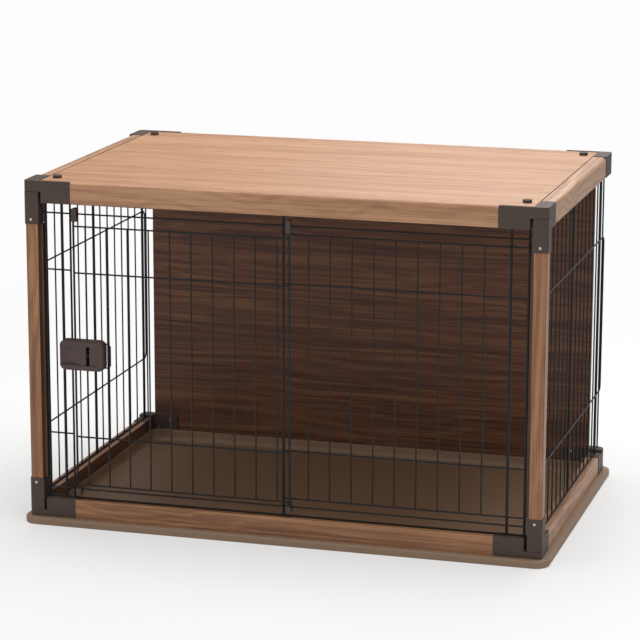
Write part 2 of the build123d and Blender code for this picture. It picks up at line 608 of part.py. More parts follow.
for sx, side in SIDES:
    for sy, end in ENDS:
        knob_plane = Plane((sx * KNOB_X, sy * KNOB_Y, WOOD_TOP_Z + KNOB_GAP))
        with BuildPart() as tabletop_knob:
            with BuildSketch(knob_plane):
                Circle(KNOB_R)
            extrude(amount=KNOB_H)
            fillet(tabletop_knob.faces().sort_by(Axis.Z)[-1].edges(), KNOB_EDGE_R)
            with BuildSketch(knob_plane.offset(KNOB_H - KNOB_SLOT_T)):
                SlotOverall(KNOB_SLOT_L, KNOB_SLOT_W)
            extrude(amount=KNOB_SLOT_T + CUT, mode=Mode.SUBTRACT)
            with BuildSketch(knob_plane):
                Circle(KNOB_STEM_R)
            extrude(amount=-(TABLE_T + GUSSET_T + KNOB_GAP + GUSSET_FIT))
        save(tabletop_knob.part, f"tabletop_knob_{end}_{side}")

# ---------------------------------------------------------------- back board
with BuildPart() as back_board:
    block((-BOARD_X, BOARD_X), (BOARD_FRONT, BOARD_BACK), (LIP_H, BOARD_TOP))
    for sx, _ in SIDES:
        for screw_in, screw_z in BOARD_SCREWS:
            bore_y(sx * (HX - screw_in), screw_z, SCREW_R, BOARD_FRONT - CUT,
                   BOARD_FRONT + BOARD_SCREW_DEEP)
save(back_board.part, "back_board")

with BuildPart() as board_screws:
    for sx, _ in SIDES:
        for screw_in, screw_z in BOARD_SCREWS:
            screw_x = sx * (HX - screw_in)
            bore_y(screw_x, screw_z, SCREW_HEAD_R, BOARD_PLATE - SCREW_HEAD_H, BOARD_PLATE, Mode.ADD)
            bore_y(screw_x, screw_z, SCREW_R, BOARD_PLATE, BOARD_FRONT + BOARD_SCREW_DEEP, Mode.ADD)
save(board_screws.part, "board_screws")


# ---------------------------------------------------------------- front wire panel
def front_bar_y(radius):
    """Depth of an upright front bar that is welded behind the cross wires."""
    return CROSS_Y + R_CROSS + radius - WELD


BAR_LOW = FRAME_LOW_Z + R_FRAME
BAR_HIGH = FRAME_HIGH_Z - R_FRAME

with BuildPart() as front_top_wires:
    width_wires([(FRONT_FRAME_Y, FRAME_HIGH_Z)], R_FRAME, -END_BAR_X - R_THICK, END_BAR_X + R_THICK)
    width_wires([(RAIL_Y, RAIL_HIGH_Z)], R_CROSS, -END_BAR_X - R_THICK, END_BAR_X + R_THICK)
save(front_top_wires.part, "front_top_wires")

with BuildPart() as front_bottom_wires:
    width_wires([(FRONT_FRAME_Y, FRAME_LOW_Z)], R_FRAME, -END_BAR_X - R_THICK, END_BAR_X + R_THICK)
    width_wires([(RAIL_Y, RAIL_LOW_Z)], R_CROSS, -END_BAR_X - R_THICK, END_BAR_X + R_THICK)
save(front_bottom_wires.part, "front_bottom_wires")

with BuildPart() as front_stub_panel:
    upright_wires([(-END_BAR_X, front_bar_y(R_THICK)), (-STUB_BAR_X, front_bar_y(R_THICK))],
                  R_THICK, BAR_LOW, BAR_HIGH)
    width_wires([(CROSS_Y, CROSS_HIGH_Z), (CROSS_Y, CROSS_LOW_Z)], R_CROSS,
                -END_BAR_X, -CLOSING_BAR_X)
    # closing bar, set back towards the stub bar where the latch closes on it
    with BuildLine(Plane.XZ.offset(-front_bar_y(R_FRAME))):
        FilletPolyline(
            (-CLOSING_BAR_X, BAR_LOW),
            (-CLOSING_BAR_X, LATCH_Z - JOG_HALF - JOG_RAMP),
            (-CLOSING_BAR_X - JOG, LATCH_Z - JOG_HALF),
            (-CLOSING_BAR_X - JOG, LATCH_Z + JOG_HALF),
            (-CLOSING_BAR_X, LATCH_Z + JOG_HALF + JOG_RAMP),
            (-CLOSING_BAR_X, BAR_HIGH),
            radius=JOG_R,
        )
    with BuildSketch(Plane((-CLOSING_BAR_X, front_bar_y(R_FRAME), BAR_LOW))):
        Circle(R_FRAME)
    sweep()
save(front_stub_panel.part, "front_stub_panel")

with BuildPart() as front_grille:
    upright_wires([(x, front_bar_y(R_THICK)) for x in (MIDDLE_X, STUB_BAR_X, END_BAR_X)],
                  R_THICK, BAR_LOW, BAR_HIGH)
    infill_x = spread(MIDDLE_X + INFILL_EDGE, STUB_BAR_X - INFILL_EDGE, INFILL_PITCH)
    upright_wires([(x, front_bar_y(R_THIN)) for x in infill_x], R_THIN, INFILL_LOW_Z, INFILL_HIGH_Z)
    cross_levels = (INFILL_HIGH_Z, CROSS_HIGH_Z, CROSS_LOW_Z, INFILL_LOW_Z)
    width_wires([(CROSS_Y, z) for z in cross_levels], R_CROSS, MIDDLE_X, END_BAR_X)
save(front_grille.part, "front_grille")

# ---------------------------------------------------------------- side wire panels
for sx, side in SIDES:
    thick_x = sx * (SIDE_CROSS_X - R_CROSS - R_THICK + WELD)
    thin_x = sx * (SIDE_CROSS_X - R_CROSS - R_THIN + WELD)
    bar_y = spread(-SIDE_BAR_END, SIDE_BAR_END, SIDE_PITCH, group=2)
    middle = len(bar_y) // 2
    thick_y = (bar_y[0], bar_y[middle], bar_y[-1])
    thin_y = bar_y[1:middle] + bar_y[middle + 1:-1]
    with BuildPart() as side_grille:
        upright_wires([(thick_x, y) for y in thick_y], R_THICK, FRAME_LOW_Z, FRAME_HIGH_Z)
        upright_wires([(thin_x, y) for y in thin_y], R_THIN, FRAME_LOW_Z, FRAME_HIGH_Z)
        depth_wires([(sx * SIDE_FRAME_X, FRAME_LOW_Z), (sx * SIDE_FRAME_X, FRAME_HIGH_Z)],
                    R_FRAME, -SIDE_BAR_END - SIDE_FRAME_PAST, SIDE_BAR_END + SIDE_FRAME_PAST)
        # one wire makes both cross wires, bent down beside the rear wire between them
        with BuildLine(Plane.YZ.offset(sx * SIDE_CROSS_X)):
            FilletPolyline(
                (-SIDE_BAR_END, CROSS_LOW_Z),
                (REAR_WIRE_Y, CROSS_LOW_Z),
                (REAR_WIRE_Y, CROSS_HIGH_Z),
                (-SIDE_BAR_END, CROSS_HIGH_Z),
                radius=SIDE_BEND_R,
            )
        with BuildSketch(Plane.XZ.offset(SIDE_BAR_END)):
            with Locations((sx * SIDE_CROSS_X, CROSS_LOW_Z)):
                Circle(R_CROSS)
        sweep()
        upright_wires([(sx * REAR_WIRE_X, REAR_WIRE_Y)], R_CROSS,
                      REAR_CAP_Z - REAR_WIRE_PLUG + REAR_WIRE_SHORT,
                      TOP_LEG_Z + REAR_WIRE_PLUG - REAR_WIRE_SHORT)
    save(side_grille.part, f"side_grille_{side}")


# ---------------------------------------------------------------- sliding door
def door_bar_y(radius):
    """Depth of an upright door bar that is welded behind the door's cross wires."""
    return DOOR_CROSS_Y + R_CROSS + radius - WELD


DOOR_BARS = spread(DOOR_LEFT + DOOR_EDGE, DOOR_RIGHT - DOOR_EDGE, INFILL_PITCH)
DOOR_FRAME_Y = DOOR_CROSS_Y + R_CROSS + R_FRAME - WELD

with BuildPart() as door_grille:
    upright_wires([(x, DOOR_FRAME_Y) for x in (DOOR_LEFT, DOOR_RIGHT)], R_FRAME,
                  RAIL_LOW_Z + HOOK_PLUG, RAIL_HIGH_Z - HOOK_PLUG)
    upright_wires([(x, door_bar_y(R_THIN)) for x in DOOR_BARS], R_THIN, DOOR_LOW_Z, DOOR_HIGH_Z)
    cross_levels = (DOOR_HIGH_Z, CROSS_HIGH_Z - DOOR_CROSS_DROP,
                    CROSS_LOW_Z - DOOR_CROSS_DROP, DOOR_LOW_Z)
    width_wires([(DOOR_CROSS_Y, z) for z in cross_levels], R_CROSS, DOOR_LEFT, DOOR_RIGHT)
save(door_grille.part, "door_grille")

HOOK_FRONT = DOOR_FRAME_FRONT - HOOK_FRONT_T
HOOK_INSIDE = RAIL_Y - R_CROSS - HOOK_RUN
HOOK_BACK = RAIL_Y + R_CROSS + HOOK_RUN
for hook_x, bar_x, side in ((HOOK_LEFT_X, DOOR_LEFT, "left"), (HOOK_RIGHT_X, DOOR_RIGHT, "right")):
    for up, rail_z, level in ((1, RAIL_HIGH_Z, "top"), (-1, RAIL_LOW_Z, "bottom")):
        edge_z = DOOR_HIGH_Z if up > 0 else DOOR_LOW_Z
        tip = rail_z + up * HOOK_END
        bridge = rail_z + up * (R_CROSS + HOOK_RUN)
        hook_span = (hook_x - HOOK_W / 2, hook_x + HOOK_W / 2)
        with BuildPart() as door_hook:
            block(hook_span, (HOOK_FRONT, HOOK_INSIDE), (edge_z + up * (R_CROSS + HOOK_WIRE_GAP), tip))
            block(hook_span, (HOOK_FRONT, HOOK_BACK + HOOK_LEG_T), (bridge, tip))
            block(hook_span, (HOOK_BACK, HOOK_BACK + HOOK_LEG_T), (rail_z - up * HOOK_BACK_L, tip))
            outer = door_hook.edges().filter_by(Axis.Y).group_by(
                lambda e: round(up * e.center().Z, 2))[-1]
            fillet(outer, HOOK_R)
            bore_z(bar_x, DOOR_FRAME_Y, R_FRAME, rail_z - up * HOOK_PLUG, edge_z)
        save(door_hook.part, f"door_hook_{level}_{side}")

# ---------------------------------------------------------------- latch
CAVITY_X1 = LATCH_X1 - LATCH_SOLID
SLOT_HALF = SLIDE_H / 2 + SLIDE_FIT
SLIDE_Y = LATCH_FACE + SLIDE_FACE
SPRING_Y = (SLIDE_Y + SLIDE_BACK) / 2
NOSE_TIP = front_bar_y(R_THICK) - R_THICK - NOSE_CLEAR
NOSE_X0 = -STUB_BAR_X + R_THICK + NOSE_BAR_GAP
PLATE_X0 = NOSE_X0 + NOSE_W + SLIDE_TRAVEL + PLATE_NOSE_GAP
PLATE_X1 = LATCH_X1 - PLATE_INSET
LATCH_SCREW_X = (CAVITY_X1 + LATCH_X1) / 2
LOOP_Y = door_bar_y(R_THIN) - R_THIN - R_CROSS

with BuildPart() as latch_housing:
    with BuildSketch(Plane.XZ.offset(-LATCH_BACK)):
        with Locations(((LATCH_X0 + LATCH_X1) / 2, LATCH_Z)):
            RectangleRounded(LATCH_W, LATCH_H, LATCH_R)
    extrude(amount=LATCH_T)
    fillet(latch_housing.faces().sort_by(Axis.Y)[0].edges(), LATCH_EDGE_R)
    block((LATCH_X0 + LATCH_WALL, CAVITY_X1), (LATCH_FACE + LATCH_WALL, LATCH_BACK + CUT),
          (LATCH_Z - LATCH_H / 2 + LATCH_WALL, LATCH_Z + LATCH_H / 2 - LATCH_WALL), Mode.SUBTRACT)
    # channel for the thumb piece, open to the left
    block((LATCH_X0 - CUT, CAVITY_X1 + CHANNEL_PAST), (LATCH_FACE - CUT, SLIDE_Y),
          (LATCH_Z - SLOT_HALF, LATCH_Z + SLOT_HALF), Mode.SUBTRACT)
    block((LATCH_X0 - CUT, BLOCK_X0), (LATCH_FACE - CUT, SLIDE_BACK + CUT),
          (LATCH_Z - SLOT_HALF, LATCH_Z + SLOT_HALF), Mode.SUBTRACT)
    # fixed block behind the channel, with a pocket for the spring
    block((BLOCK_X0, CAVITY_X1 + BITE), (SLIDE_Y, SLIDE_BACK),
          (LATCH_Z - SLOT_HALF, LATCH_Z + SLOT_HALF))
    with BuildSketch(Plane.YZ.offset(BLOCK_X0)):
        with Locations((SPRING_Y, LATCH_Z)):
            Circle(POCKET_R)
    extrude(amount=POCKET_BLOCK, mode=Mode.SUBTRACT)
    # screw holes in the solid end
    for up in (-1, 1):
        bore_y(LATCH_SCREW_X, LATCH_Z + up * LATCH_SCREW_DZ, SCREW_R,
               LATCH_BACK - LATCH_SCREW_HOLE, LATCH_BACK + CUT)
    # notches for the door bars and sockets for the pull loop
    block((DOOR_LEFT - R_FRAME - NOTCH_FIT, DOOR_LEFT + R_FRAME + NOTCH_FIT),
          (DOOR_FRAME_FRONT - NOTCH_FIT, LATCH_BACK + CUT),
          (LATCH_Z - LATCH_H, LATCH_Z + LATCH_H), Mode.SUBTRACT)
    block((DOOR_BARS[0] - R_THIN - NOTCH_FIT, DOOR_BARS[0] + R_THIN + NOTCH_FIT),
          (DOOR_FRAME_FRONT - NOTCH_FIT, LATCH_BACK + CUT),
          (LATCH_Z - LATCH_H, LATCH_Z + LATCH_H), Mode.SUBTRACT)
    with BuildSketch(Plane.YZ.offset(LATCH_X1 - LOOP_PLUG)):
        with Locations((LOOP_Y, LATCH_Z - LOOP_HALF), (LOOP_Y, LATCH_Z + LOOP_HALF)):
            Circle(R_CROSS + LOOP_FIT)
    extrude(amount=LOOP_PLUG + CUT, mode=Mode.SUBTRACT)
save(latch_housing.part, "latch_housing")

with BuildPart() as latch_back_plate:
    with BuildSketch(Plane.XZ.offset(-LATCH_BACK - PLATE_T)):
        with Locations(((PLATE_X0 + PLATE_X1) / 2, LATCH_Z)):
            RectangleRounded(PLATE_X1 - PLATE_X0, PLATE_H, PLATE_R)
    extrude(amount=PLATE_T)
    for up in (-1, 1):
        bore_y(LATCH_SCREW_X, LATCH_Z + up * LATCH_SCREW_DZ, SCREW_R, LATCH_BACK - CUT,
               LATCH_BACK + PLATE_T + CUT)
save(latch_back_plate.part, "latch_back_plate")

with BuildPart() as latch_screws:
    for up in (-1, 1):
        bore_y(LATCH_SCREW_X, LATCH_Z + up * LATCH_SCREW_DZ, SCREW_HEAD_R, LATCH_BACK + PLATE_T,
               LATCH_BACK + PLATE_T + LATCH_SCREW_HEAD_H, Mode.ADD)
        bore_y(LATCH_SCREW_X, LATCH_Z + up * LATCH_SCREW_DZ, SCREW_R, LATCH_BACK - LATCH_SCREW_L,
               LATCH_BACK + PLATE_T, Mode.ADD)
save(latch_screws.part, "latch_screws")

with BuildPart() as latch_slider:
    block((LATCH_X0 + SLIDE_INSET, SLIDE_X1), (SLIDE_Y, SLIDE_BACK),
          (LATCH_Z - SLIDE_H / 2, LATCH_Z + SLIDE_H / 2))
    fillet(corner_edge(latch_slider, -1, -1), SLIDE_EDGE_R)
    # guide rails behind the housing face
    block((LATCH_X0 + LATCH_WALL + GUIDE_INSET, SLIDE_X1 - GUIDE_SHORT),
          (LATCH_FACE + LATCH_WALL + SLIDE_FIT, LATCH_FACE + LATCH_WALL + SLIDE_FIT + GUIDE_T),
          (LATCH_Z - SLIDE_H / 2 - SLIDE_RAIL, LATCH_Z + SLIDE_H / 2 + SLIDE_RAIL))
    # finger hollow and the raised pad at its end
    with BuildSketch(Plane.XY.offset(LATCH_Z - SLIDE_H / 2 + HOLLOW_RIM)):
        with Locations(((LATCH_X0 + SLIDE_X1) / 2 - HOLLOW_SHIFT, SLIDE_Y + HOLLOW_DEEP - HOLLOW_R)):
            Circle(HOLLOW_R)
    extrude(amount=SLIDE_H - 2 * HOLLOW_RIM, mode=Mode.SUBTRACT)
    block((SLIDE_X1 - PAD_IN - PAD_W, SLIDE_X1 - PAD_IN),
          (SLIDE_Y + PAD_DROP, SLIDE_Y + PAD_DROP + PAD_ROOT),
          (LATCH_Z - PAD_H / 2, LATCH_Z + PAD_H / 2))
    # nose that reaches back past the door wires to the stub bar
    block((NOSE_X0, NOSE_X0 + NOSE_W), (SLIDE_BACK - BITE, NOSE_TIP),
          (LATCH_Z - NOSE_H / 2, LATCH_Z + NOSE_H / 2))
    with BuildSketch(Plane.YZ.offset(SLIDE_X1 - POCKET_SLIDE)):
        with Locations((SPRING_Y, LATCH_Z)):
            Circle(POCKET_R)
    extrude(amount=POCKET_SLIDE + CUT, mode=Mode.SUBTRACT)
save(latch_slider.part, "latch_slider")

SPRING_L = BLOCK_X0 + POCKET_BLOCK - (SLIDE_X1 - POCKET_SLIDE) - 2 * SPRING_WIRE_R
with BuildPart() as latch_spring:
    with BuildLine():
        coil = Helix(SPRING_L / SPRING_TURNS, SPRING_L, SPRING_R, direction=(1, 0, 0),
                     center=(SLIDE_X1 - POCKET_SLIDE + SPRING_WIRE_R, SPRING_Y, LATCH_Z))
    with BuildSketch(Plane(coil @ 0, z_dir=coil % 0)):
        Circle(SPRING_WIRE_R)
    sweep(is_frenet=True)
save(latch_spring.part, "latch_spring")

LOOP_X1 = LATCH_X1 + LOOP_OUT - R_CROSS
with BuildPart() as latch_loop:
    with BuildLine(Plane.XZ.offset(-LOOP_Y)):
        FilletPolyline(
            (LATCH_X1 - LOOP_PLUG, LATCH_Z - LOOP_HALF),
            (LOOP_X1, LATCH_Z - LOOP_HALF),
            (LOOP_X1, LATCH_Z + LOOP_HALF),
            (LATCH_X1 - LOOP_PLUG, LATCH_Z + LOOP_HALF),
            radius=LOOP_R,
        )
    with BuildSketch(Plane.YZ.offset(LATCH_X1 - LOOP_PLUG)):
        with Locations((LOOP_Y, LATCH_Z - LOOP_HALF)):
            Circle(R_CROSS)
    sweep()
save(latch_loop.part, "latch_loop")

door_travel = (MIDDLE_X - R_THICK) - (HOOK_LEFT_X + HOOK_W / 2) - DOOR_STOP
print("door travel", round(door_travel, 2), "latch travel", SLIDE_TRAVEL)
print("doorway", round(-CLOSING_BAR_X + R_FRAME, 1), round(MIDDLE_X - R_THICK, 1))
print("knobs", KNOB_X, KNOB_Y, "latch", round(LATCH_X0, 1), round(LATCH_X1, 1), round(LATCH_Z, 1))
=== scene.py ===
"""Looks for a wire crate with a wood tabletop and a sliding wire door.

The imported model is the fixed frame.  Most moulded and wood pieces are shown as
copies of their own shape with eased edges, the sleeve screws are computed with
domed heads, and every surface has a procedural finish on Object coordinates, in
metres.
"""
import json
import math

import bmesh
import bpy
import numpy as np
from mathutils import Matrix, Vector


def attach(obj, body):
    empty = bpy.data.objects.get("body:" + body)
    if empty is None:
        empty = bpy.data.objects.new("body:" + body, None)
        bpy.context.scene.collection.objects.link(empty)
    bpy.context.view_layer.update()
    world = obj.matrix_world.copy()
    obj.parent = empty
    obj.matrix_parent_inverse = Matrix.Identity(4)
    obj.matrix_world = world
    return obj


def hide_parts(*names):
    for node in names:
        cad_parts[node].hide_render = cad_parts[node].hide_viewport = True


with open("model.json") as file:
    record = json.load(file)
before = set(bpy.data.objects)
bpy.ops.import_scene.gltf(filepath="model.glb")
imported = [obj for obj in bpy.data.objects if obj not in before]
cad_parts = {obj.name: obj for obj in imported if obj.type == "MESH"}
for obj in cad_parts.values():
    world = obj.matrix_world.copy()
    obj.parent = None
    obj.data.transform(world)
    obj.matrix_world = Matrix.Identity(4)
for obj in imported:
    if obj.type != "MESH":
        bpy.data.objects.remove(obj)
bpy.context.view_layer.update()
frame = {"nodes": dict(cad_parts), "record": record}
slot_of = {row["node"]: row["material_slot"] for row in frame["record"]["subparts"]}
body_of = {node: body for body, nodes in frame["record"]["behaviour"]["bodies"].items() for node in nodes}

SIDES = ("left", "right")
ENDS = ("front", "rear")


# ------------------------------------------------------------------ node tools
class Tree:
    """Short forms for adding nodes and joining sockets in one node tree."""

    def __init__(self, tree):
        self.tree = tree

    def add(self, kind, settings=None, **inputs):
        """A node with plain settings, and inputs given as values or as sockets."""
        node = self.tree.nodes.new(kind)
        for key, value in (settings or {}).items():
            setattr(node, key, value)
        for key, value in inputs.items():
            self.put(node.inputs[key.replace("_", " ")], value)
        return node

    def put(self, socket, value):
        if isinstance(value, bpy.types.NodeSocket):
            self.tree.links.new(value, socket)
        else:
            socket.default_value = value

    def math(self, operation, a, b=0.0, c=0.0, clamp=False):
        node = self.add("ShaderNodeMath", {"operation": operation, "use_clamp": clamp})
        for socket, value in zip(node.inputs, (a, b, c)):
            self.put(socket, value)
        return node.outputs[0]

    def span(self, value, low, high, to_low=0.0, to_high=1.0):
        """value moved from the range low..high to to_low..to_high, and held there."""
        node = self.add("ShaderNodeMapRange", {"clamp": True}, Value=value)
        for key, number in (("From Min", low), ("From Max", high), ("To Min", to_low), ("To Max", to_high)):
            self.put(node.inputs[key], number)
        return node.outputs["Result"]

    def blend(self, share, a, b, mode="MIX"):
        """Colours a and b mixed by share."""
        node = self.add("ShaderNodeMix", {"data_type": "RGBA", "blend_type": mode})
        for index, value in ((0, share), (6, a), (7, b)):
            self.put(node.inputs[index], value)
        return node.outputs[2]

    def place(self, vector, scale=(1, 1, 1), turn=(0, 0, 0), shift=(0, 0, 0)):
        node = self.add("ShaderNodeMapping", Vector=vector, Scale=scale, Rotation=turn, Location=shift)
        return node.outputs[0]

    def noise(self, vector, scale, detail=4.0, rough=0.5, distortion=0.0):
        node = self.add("ShaderNodeTexNoise", Vector=vector, Scale=scale, Detail=detail,
                        Roughness=rough, Distortion=distortion)
        return node.outputs[0]


def group(name, inputs, outputs):
    """An empty node group with named sockets, and its input and output nodes."""
    tree = bpy.data.node_groups.new(name, "ShaderNodeTree")
    for label, kind, value in inputs:
        socket = tree.interface.new_socket(name=label, in_out="INPUT", socket_type=kind)
        if value is not None:
            socket.default_value = value
    for label, kind in outputs:
        tree.interface.new_socket(name=label, in_out="OUTPUT", socket_type=kind)
    return Tree(tree), tree.nodes.new("NodeGroupInput").outputs, tree.nodes.new("NodeGroupOutput").inputs


VECTOR, COLOR, FLOAT = "NodeSocketVector", "NodeSocketColor", "NodeSocketFloat"


LINE_RATE = 330.0         # radians of growth line per metre across the grain
LINE_WARP = 62.0          # radians that the warp moves a growth line by


def walnut_grain_group():
    """Printed walnut foil with its grain along local X.

    Broad figure is noise stretched along the grain and warped, growth lines are a
    sine of the distance across the grain plus that warp, and pores are short dark
    dashes.  Vector is in metres.  Figure sets how strong the broad figure is.
    """
    t, g, out = group("walnut_grain", [
        ("Vector", VECTOR, None), ("Light", COLOR, (0.5, 0.3, 0.17, 1)),
        ("Middle", COLOR, (0.4, 0.2, 0.1, 1)), ("Dark", COLOR, (0.2, 0.1, 0.05, 1)),
        ("Figure", FLOAT, 1.0), ("Lines", FLOAT, 1.0), ("Pores", FLOAT, 1.0)],
        [("Color", COLOR), ("Height", FLOAT), ("Roughness", FLOAT)])
    vector = g["Vector"]
    warp = t.noise(t.place(vector, (1.3, 7.0, 7.0)), 1.0, 3.0, 0.55, 0.6)
    broad = t.noise(t.place(vector, (1.1, 30.0, 30.0)), 1.0, 6.0, 0.60, 0.7)
    across = t.add("ShaderNodeSeparateXYZ", Vector=vector).outputs
    distance = t.math("ADD", across[1], across[2])
    rings = t.math("SINE", t.math("ADD", t.math("MULTIPLY", distance, LINE_RATE),
                                  t.math("MULTIPLY", warp, LINE_WARP)))
    streak = t.noise(t.place(vector, (5.0, 260.0, 260.0)), 1.0, 5.0, 0.6)
    hair = t.noise(t.place(vector, (16.0, 900.0, 900.0)), 1.0, 3.0, 0.55)
    pores = t.span(t.noise(t.place(vector, (70.0, 1500.0, 1500.0)), 1.0, 2.0, 0.5), 0.60, 0.72)
    figure = t.math("MULTIPLY", t.math("SUBTRACT", broad, 0.5), g["Figure"])
    lines = t.math("MULTIPLY", t.math("MULTIPLY", rings, 0.09), g["Lines"])
    fine = t.math("ADD", t.math("MULTIPLY", t.math("SUBTRACT", streak, 0.5), 1.1),
                  t.math("MULTIPLY", t.math("SUBTRACT", hair, 0.5), 0.55))
    tone = t.math("ADD", t.math("ADD", figure, lines), t.math("MULTIPLY", fine, g["Lines"]))
    low = t.blend(t.span(tone, -0.42, 0.04), g["Dark"], g["Middle"])
    base = t.blend(t.span(tone, -0.02, 0.42), low, g["Light"])
    pored = t.math("MULTIPLY", pores, g["Pores"], clamp=True)
    t.put(out["Color"], t.blend(t.math("MULTIPLY", pored, 0.45), base, g["Dark"]))
    t.put(out["Height"], t.math("SUBTRACT", t.math("MULTIPLY", streak, 0.35), t.math("MULTIPLY", pored, 0.6)))
    t.put(out["Roughness"], t.math("ADD", t.math("MULTIPLY", hair, 0.16), t.math("MULTIPLY", pored, 0.12)))
    return t.tree


def moulded_group():
    """Fine spark-eroded texture of moulded plastic: tiny bumps, faint cloudy tone and rubbed patches."""
    t, g, out = group("moulded_texture", [
        ("Vector", VECTOR, None), ("Base", COLOR, (0.1, 0.1, 0.1, 1)), ("Worn", COLOR, (0.2, 0.2, 0.2, 1)),
        ("Grain", FLOAT, 1400.0)], [("Color", COLOR), ("Height", FLOAT), ("Roughness", FLOAT)])
    grain = t.noise(g["Vector"], g["Grain"], 2.0, 0.55)
    cloud = t.noise(g["Vector"], 18.0, 4.0, 0.6)
    rub = t.span(t.noise(g["Vector"], 55.0, 5.0, 0.65), 0.52, 0.75)
    tone = t.blend(t.math("MULTIPLY", rub, 0.35), g["Base"], g["Worn"])
    t.put(out["Color"], t.blend(t.span(cloud, 0.3, 0.7, 0.0, 0.22), tone, g["Worn"]))
    t.put(out["Height"], grain)
    t.put(out["Roughness"], t.math("ADD", t.math("MULTIPLY", cloud, 0.10), t.math("MULTIPLY", grain, 0.08)))
    return t.tree


GRAIN_GROUP = walnut_grain_group()
MOULDED_GROUP = moulded_group()


def material(name):
    """A new material with its Principled shader and Object coordinates."""
    made = bpy.data.materials.new(name)
    made.use_nodes = True
    t = Tree(made.node_tree)
    shader = made.node_tree.nodes["Principled BSDF"]
    where = t.add("ShaderNodeTexCoord").outputs["Object"]
    return made, t, shader, where


def bump(t, shader, height, strength, distance):
    node = t.add("ShaderNodeBump", Strength=strength, Distance=distance, Height=height)
    t.put(shader.inputs["Normal"], node.outputs[0])


GRAIN_TURN = {"x": (0, 0, 0), "y": (0, 0, -math.pi / 2), "z": (0, math.pi / 2, 0)}
INNER_FACE_X = 0.4502     # rail and post faces nearer the middle than this are inner ones, and get painted shade
# the tint multiplied into inner faces as painted shade
INNER_SHADE_TINT = (0.30, 0.27, 0.25, 1)


def wood(name, along, light, middle, dark, figure=1.0, lines=1.0, pores=1.0, rough=0.36, shift=(0, 0, 0),
         painted_inner_shade=False):
    """Satin walnut foil with its grain along one axis of the object, with painted shade on inner faces if
    asked.
    """
    made, t, shader, where = material(name)
    grain = t.add("ShaderNodeGroup", {"node_tree": GRAIN_GROUP},
                  Vector=t.place(where, turn=GRAIN_TURN[along], shift=shift),
                  Light=(*light, 1), Middle=(*middle, 1), Dark=(*dark, 1),
                  Figure=figure, Lines=lines, Pores=pores)
    colour = grain.outputs["Color"]
    # painted shade: faces nearer the middle than INNER_FACE_X are multiplied by a dark tint, standing in for
    # the shadow inside the crate
    if painted_inner_shade:
        from_middle = t.math("ABSOLUTE", t.add("ShaderNodeSeparateXYZ", Vector=where).outputs[0])
        inside = t.math("LESS_THAN", from_middle, INNER_FACE_X)
        colour = t.blend(inside, colour, t.blend(1.0, colour, INNER_SHADE_TINT, "MULTIPLY"))
    t.put(shader.inputs["Base Color"], colour)
    t.put(shader.inputs["Roughness"], t.math("ADD", grain.outputs["Roughness"], rough))
    shader.inputs["Specular IOR Level"].default_value = 0.42
    bump(t, shader, grain.outputs["Height"], 0.16, 0.0004)
    return made


def plastic(name, base, worn, rough=0.46, grain=1400.0, depth=0.22, ridge_pitch=0.0):
    """Matte moulded plastic with a fine texture, and with upright ridges if a pitch is given."""
    made, t, shader, where = material(name)
    texture = t.add("ShaderNodeGroup", {"node_tree": MOULDED_GROUP}, Vector=where,
                    Base=(*base, 1), Worn=(*worn, 1), Grain=grain)
    t.put(shader.inputs["Base Color"], texture.outputs["Color"])
    t.put(shader.inputs["Roughness"], t.math("ADD", texture.outputs["Roughness"], rough))
    shader.inputs["Specular IOR Level"].default_value = 0.5
    height = texture.outputs["Height"]
    if ridge_pitch:
        along = t.add("ShaderNodeSeparateXYZ", Vector=where).outputs[0]
        wave = t.math("SINE", t.math("MULTIPLY", along, 2 * math.pi / ridge_pitch))
        height = t.math("ADD", height, t.math("MULTIPLY", t.span(wave, -0.2, 0.8), 2.4))
    bump(t, shader, height, depth, 0.0003)
    return made


SCUFF = (0.030, 0.028, 0.027, 1)


def powder_coat(name, base):
    """Satin powder coat on wire: orange-peel bumps and faint scuffs."""
    made, t, shader, where = material(name)
    peel = t.noise(where, 900.0, 2.0, 0.5)
    scuff = t.span(t.noise(where, 120.0, 5.0, 0.7), 0.58, 0.78)
    t.put(shader.inputs["Base Color"], t.blend(t.math("MULTIPLY", scuff, 0.5), (*base, 1), SCUFF))
    t.put(shader.inputs["Roughness"], t.math("ADD", t.math("MULTIPLY", peel, 0.12), 0.38))
    shader.inputs["Specular IOR Level"].default_value = 0.36
    bump(t, shader, peel, 0.2, 0.0002)
    return made


def bright_metal(name, base, rough):
    """Plated or drawn metal: fine scratches and faint stains."""
    made, t, shader, where = material(name)
    scratch = t.noise(t.place(where, (60.0, 1600.0, 1600.0)), 1.0, 3.0, 0.6)
    stain = t.noise(where, 220.0, 3.0, 0.55)
    t.put(shader.inputs["Base Color"], t.blend(t.span(stain, 0.35, 0.75, 0.0, 0.35), (*base, 1),
                                               (base[0] * 0.7, base[1] * 0.68, base[2] * 0.64, 1)))
    t.put(shader.inputs["Roughness"], t.math("ADD", t.math("MULTIPLY", scratch, 0.2), rough))
    shader.inputs["Metallic"].default_value = 1.0
    bump(t, shader, scratch, 0.15, 0.0001)
    return made


# ------------------------------------------------------------------ finishes
# painted sheen: the tabletop palette is the rail foil made lighter and paler by a glossy highlight
TOP_WALNUT_WITH_SHEEN = ((0.585, 0.335, 0.195), (0.455, 0.238, 0.125), (0.245, 0.112, 0.055))
RAIL_WALNUT = ((0.46, 0.24, 0.12), (0.33, 0.152, 0.071), (0.150, 0.062, 0.029))
# painted light: the side rails take a lighter, paler copy of the rail palette for light from the right and
# for their sheen
LIT_SIDE_WALNUT = ((0.56, 0.34, 0.215), (0.44, 0.245, 0.145), (0.22, 0.105, 0.058))
DEEP_WALNUT = ((0.250, 0.112, 0.052), (0.140, 0.055, 0.026), (0.052, 0.020, 0.011))

